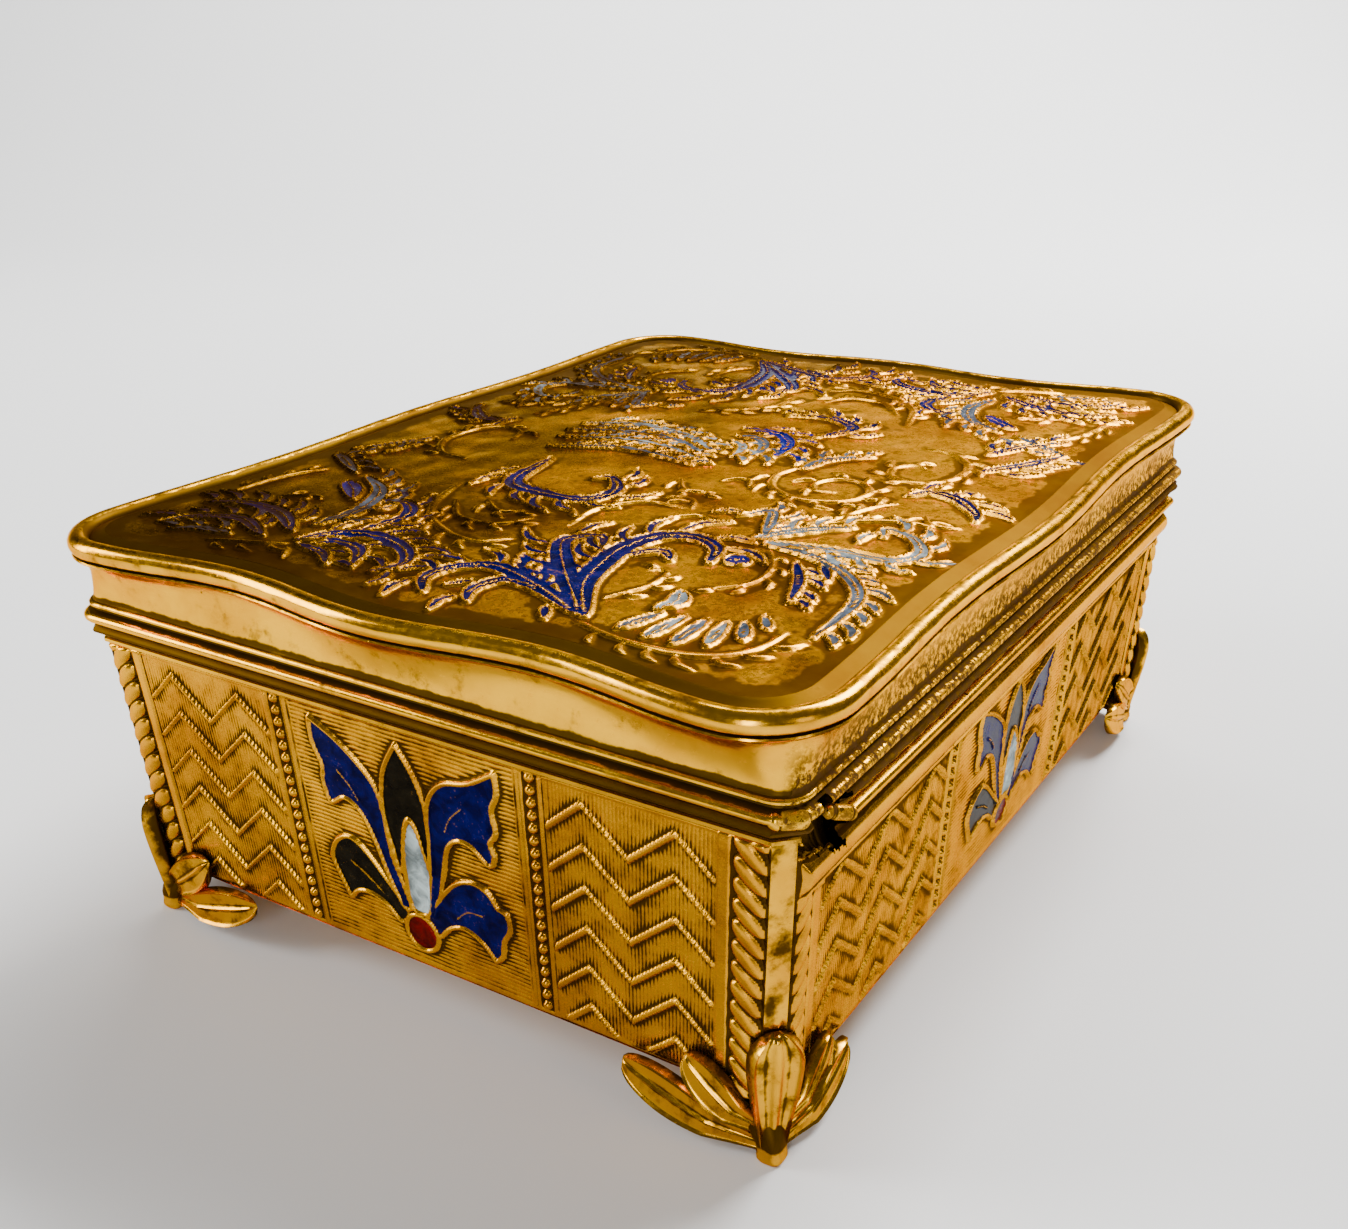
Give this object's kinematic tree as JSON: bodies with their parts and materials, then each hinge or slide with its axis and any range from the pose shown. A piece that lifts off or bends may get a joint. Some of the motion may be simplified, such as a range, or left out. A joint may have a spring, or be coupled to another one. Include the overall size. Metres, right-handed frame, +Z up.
{
  "type": "gilt bronze box",
  "caption": "Rectangular footed casket with flaring walls, chevron and flower relief, and a wavy-edged lift-off lid with scrolls.",
  "frame": {"origin": "under the middle of the box, at the height of the feet's tips", "axes": "+Z up, +Y from the short front wall to the back, +X towards the long right wall"},
  "size_m": [0.1036, 0.1332, 0.0544],
  "materials": {
    "wall_gilt": "worn mercury gilding on cast bronze, polished on the high parts and dark in the hollows, with enamel in the flowers",
    "lid_gilt": "satin worn gilding with pits and dark patina, and enamel in the scrolls",
    "foot_gilt": "polished gilding with dark hollows"
  },
  "bodies": {
    "root": {"body": "wall_gilt", "lid": "lid_gilt", "foot_front_right": "foot_gilt", "foot_front_left": "foot_gilt", "foot_back_right": "foot_gilt", "foot_back_left": "foot_gilt"}
  },
  "joints": []
}
